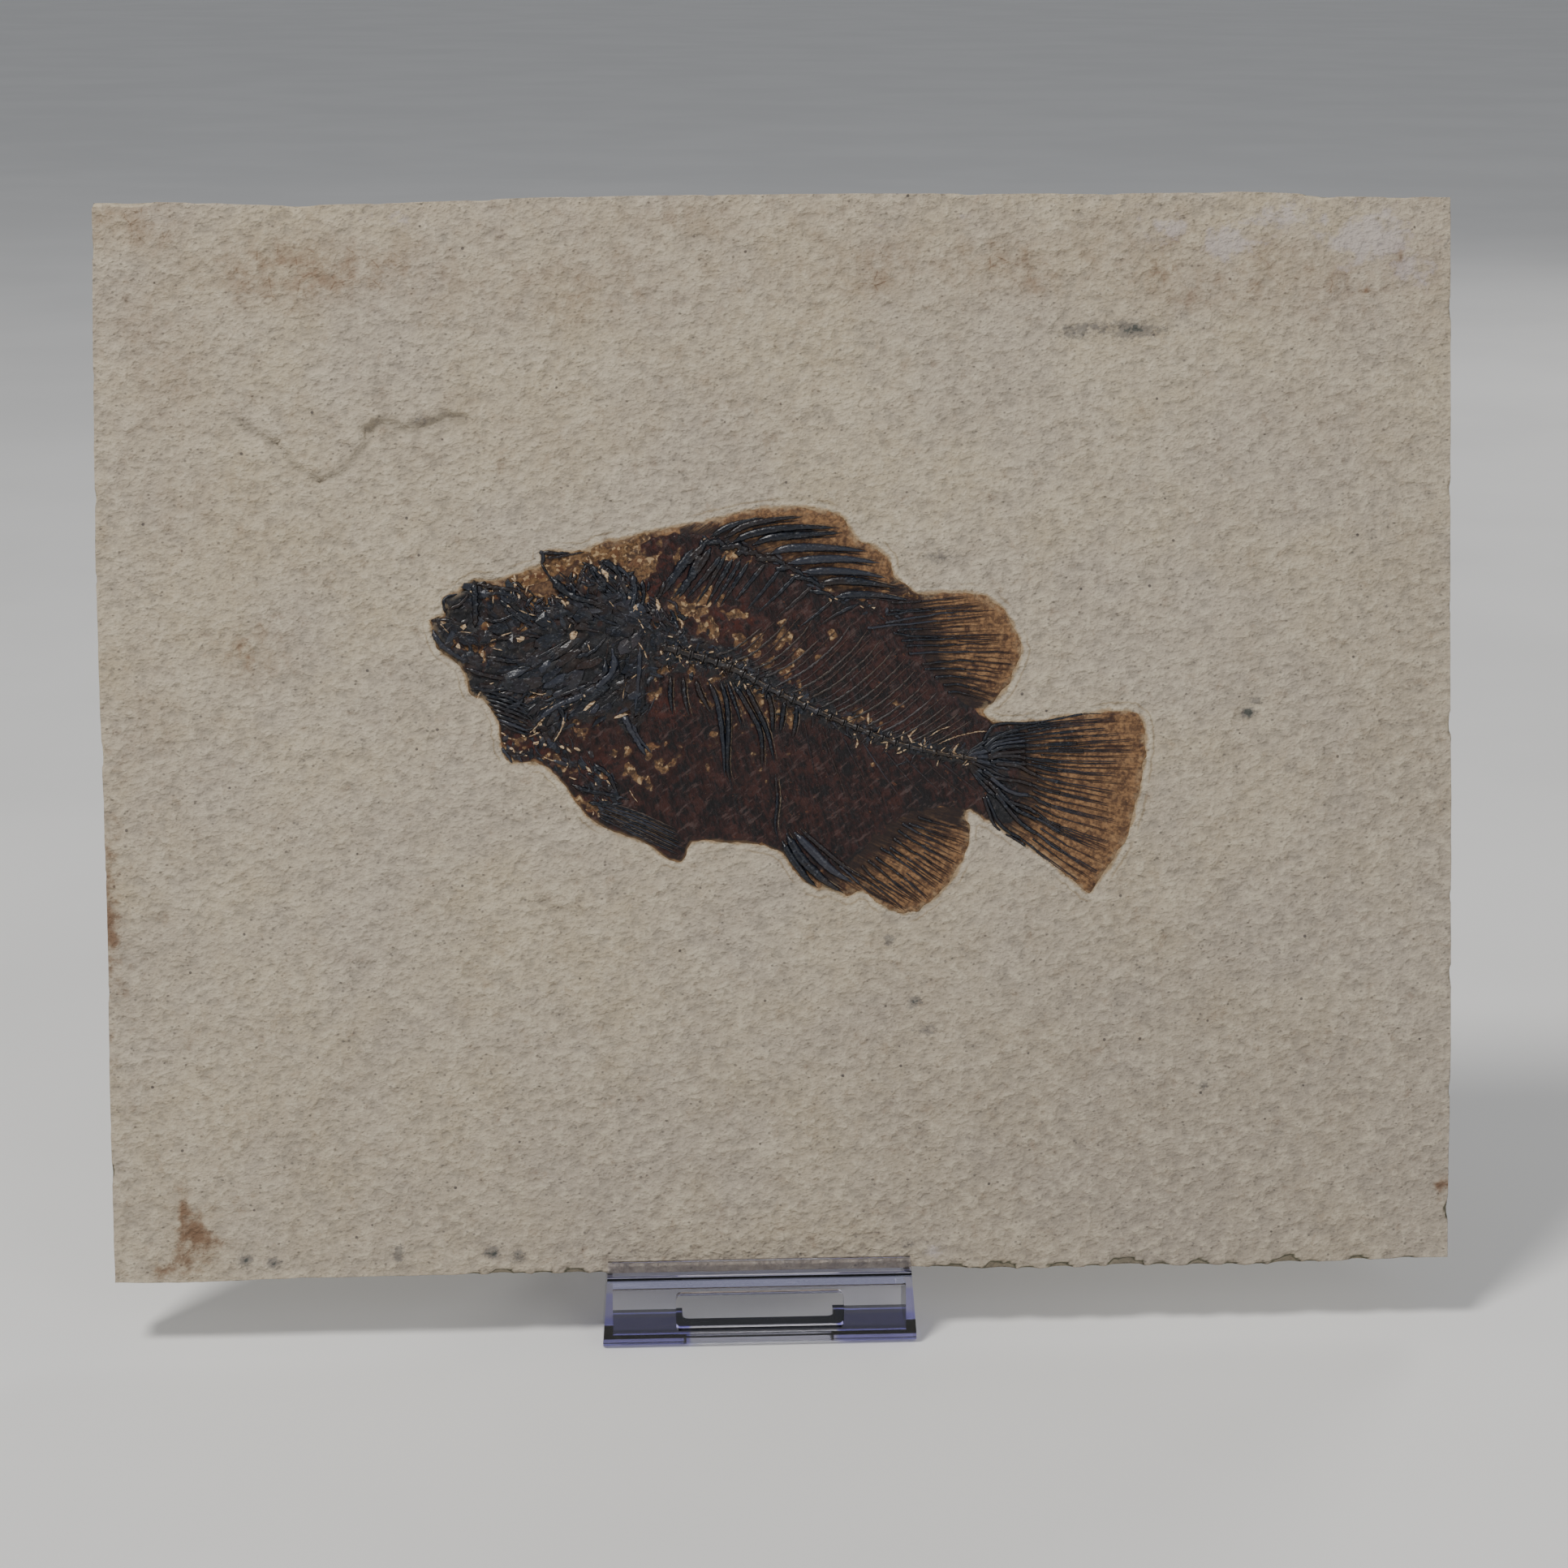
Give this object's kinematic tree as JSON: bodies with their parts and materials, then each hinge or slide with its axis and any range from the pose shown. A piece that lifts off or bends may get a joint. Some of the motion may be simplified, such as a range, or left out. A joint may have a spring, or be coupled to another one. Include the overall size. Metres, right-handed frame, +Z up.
{
  "type": "fossil fish slab on a display stand",
  "caption": "Leaning slab of pale limestone with a dark flattened spiny-finned fish fossil set in its front face, resting on a small moulded clear easel.",
  "frame": {"origin": "on the surface that the stand rests on, below the middle of the whole object's box", "axes": "+X to the right as the fish is seen, along the slab's long side; +Y away from the viewer; +Z up"},
  "size_m": [0.2412, 0.0562, 0.2002],
  "materials": {
    "limestone": "matt, fine-grained, sawn rim and split back",
    "petrified_bone": "dark bone with a soft gloss, golden brown membrane",
    "clear_acrylic": "clear, polished"
  },
  "bodies": {
    "root": {"limestone_slab": "limestone", "fossil_fish": "petrified_bone", "display_stand": "clear_acrylic"}
  },
  "joints": []
}
